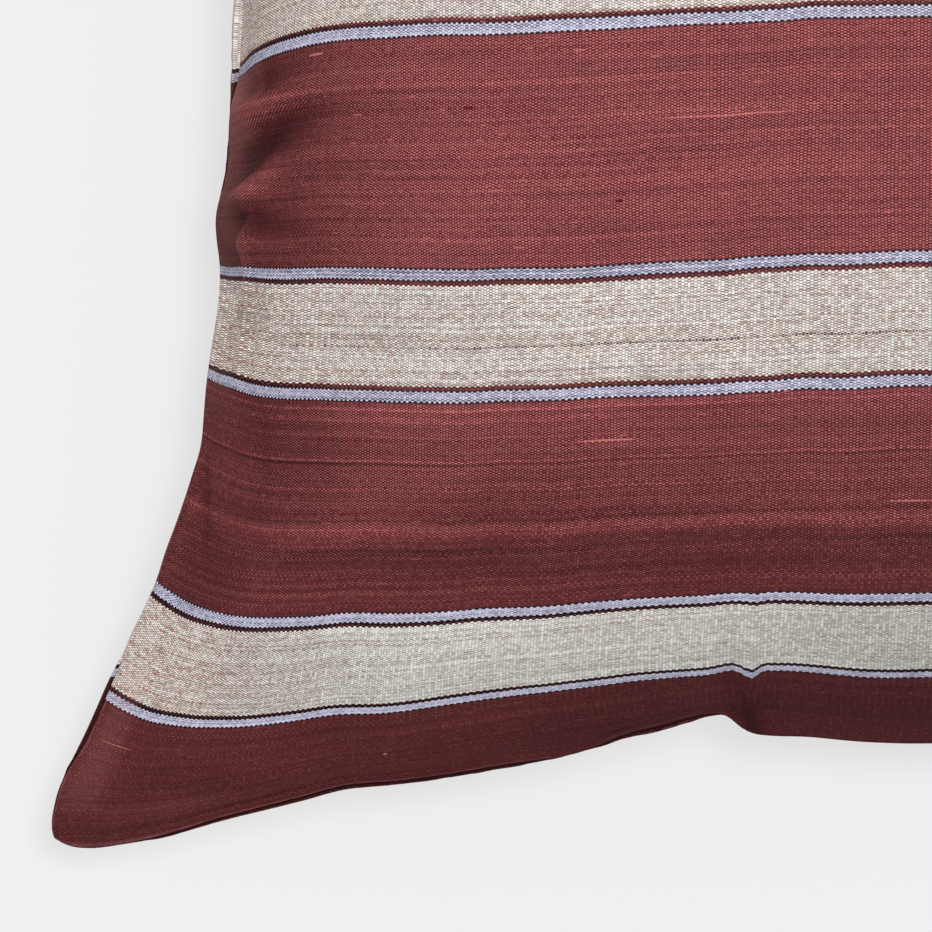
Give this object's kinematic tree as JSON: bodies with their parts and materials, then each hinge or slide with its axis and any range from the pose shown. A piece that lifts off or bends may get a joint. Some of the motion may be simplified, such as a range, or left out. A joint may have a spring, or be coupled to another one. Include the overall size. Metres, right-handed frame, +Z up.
{
  "type": "square throw pillow",
  "caption": "Square filled throw pillow of striped handloomed cloth, crowned in the middle, with drawn-in sides, pointed corners and a plain sewn edge.",
  "frame": {"origin": "under the middle of the pillow's outline, on the surface it lies on", "axes": "+Z up, out of the front panel; +X along the stripes, to the right when the front is seen upright; +Y towards the upper edge"},
  "size_m": [0.4734, 0.4546, 0.18],
  "materials": {
    "striped_cotton": "matt plain-woven cotton, burgundy with cream, pale blue and dark maroon stripes"
  },
  "bodies": {
    "root": {"pillow": "striped_cotton"}
  },
  "joints": []
}
